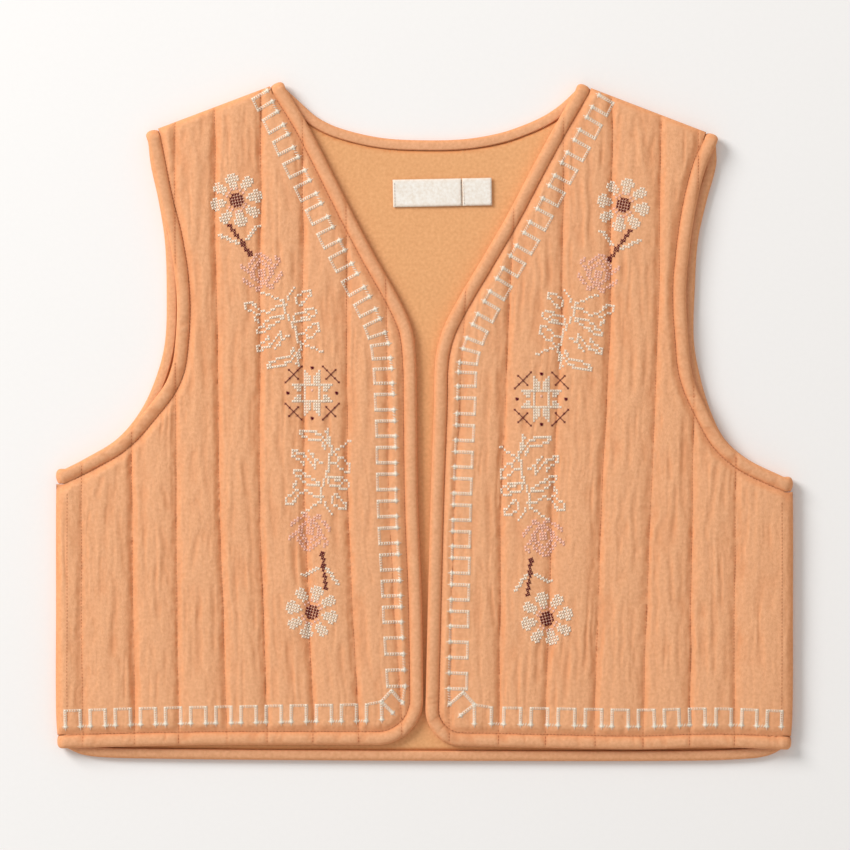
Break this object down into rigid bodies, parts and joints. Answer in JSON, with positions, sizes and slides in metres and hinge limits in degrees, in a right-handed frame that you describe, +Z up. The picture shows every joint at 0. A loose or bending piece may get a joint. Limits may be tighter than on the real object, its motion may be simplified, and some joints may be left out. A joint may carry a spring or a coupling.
{
  "type": "child's quilted waistcoat laid flat",
  "caption": "Sleeveless open-front quilted waistcoat laid flat, with bound edges and embroidered fronts, to rest on a surface as clothing.",
  "frame": {"origin": "middle of the garment's plan box, on the surface that it lies on", "axes": "+Y toward the neck, +Z up from the surface, +X toward the wearer's left front; the front of the garment faces +Z"},
  "size_m": [0.3686, 0.3396, 0.0084],
  "materials": {
    "gauze": "crinkled cotton double gauze, quilted",
    "binding": "plain woven cotton, folded",
    "lining": "plain woven cotton",
    "label": "woven satin tape"
  },
  "bodies": {
    "root": {"right_front": "gauze", "left_front": "gauze", "back_panel": "gauze", "back_lining": "lining", "right_front_binding": "binding", "left_front_binding": "binding", "back_neck_binding": "binding", "back_hem_binding": "binding", "right_armhole_binding": "binding", "left_armhole_binding": "binding", "neck_label": "label", "size_label": "label"}
  },
  "joints": []
}
